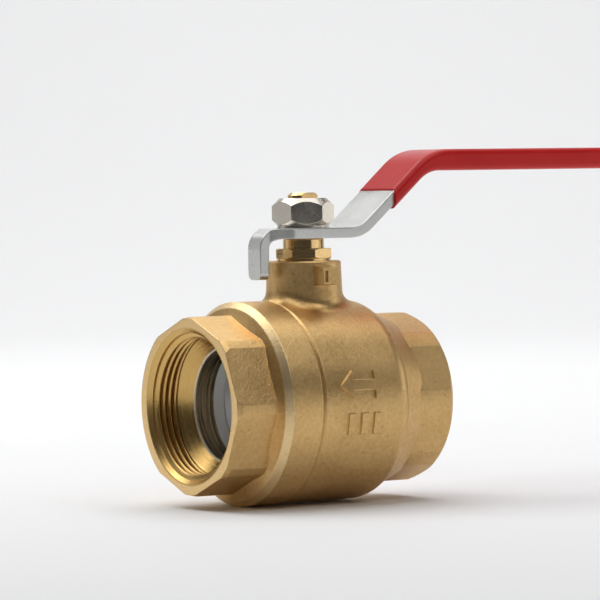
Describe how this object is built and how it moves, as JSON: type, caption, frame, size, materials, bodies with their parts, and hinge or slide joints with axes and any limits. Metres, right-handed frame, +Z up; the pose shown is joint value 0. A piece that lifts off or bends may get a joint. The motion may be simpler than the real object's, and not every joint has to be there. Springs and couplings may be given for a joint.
{
  "type": "ball valve",
  "caption": "Lever-operated brass ball valve in two pieces, with female pipe-thread ends, a full-port chromed ball and a red dipped grip.",
  "frame": {"origin": "centre of the ball, where the pipe axis crosses the stem axis", "axes": "+X along the pipe towards the far port and along the open lever, +Z up the stem, +Y to the side"},
  "size_m": [0.199, 0.0674, 0.1165],
  "materials": {
    "forged_brass": "forged and shot-blasted, satin",
    "chromed_ball": "polished chrome plate over brass",
    "turned_brass": "turned, light tool marks",
    "plated_steel": "zinc plated, satin",
    "plated_nut": "nickel plated, semi-bright",
    "vinyl_grip": "dipped red vinyl, glossy",
    "ptfe": "white PTFE, waxy",
    "seal_rubber": "black nitrile"
  },
  "bodies": {
    "valve_body": {"body": "forged_brass", "end_cap": "forged_brass", "near_seat": "ptfe", "far_seat": "ptfe", "body_seal": "ptfe", "stem_washer": "ptfe", "packing_ring_lower": "ptfe", "packing_ring_middle": "ptfe", "packing_ring_upper": "ptfe", "gland_ring": "turned_brass", "packing_nut": "turned_brass"},
    "operator": {"stem": "turned_brass", "stem_o_ring": "seal_rubber", "lever": "plated_steel", "grip": "vinyl_grip", "lever_nut": "plated_nut"},
    "ball": {"ball": "chromed_ball"}
  },
  "joints": [
    {"name": "lever_turn", "type": "hinge", "parent": "valve_body", "child": "operator", "pos_m": [0, 0, 0], "axis": [0, 0, 1], "range_deg": [-90, 0]},
    {"name": "ball_turn", "type": "hinge", "parent": "valve_body", "child": "ball", "pos_m": [0, 0, 0], "axis": [0, 0, 1], "range_deg": [-90, 0]}
  ],
  "couplings": [
    {"joint": "ball_turn", "follows": "lever_turn", "ratio": 1}
  ]
}
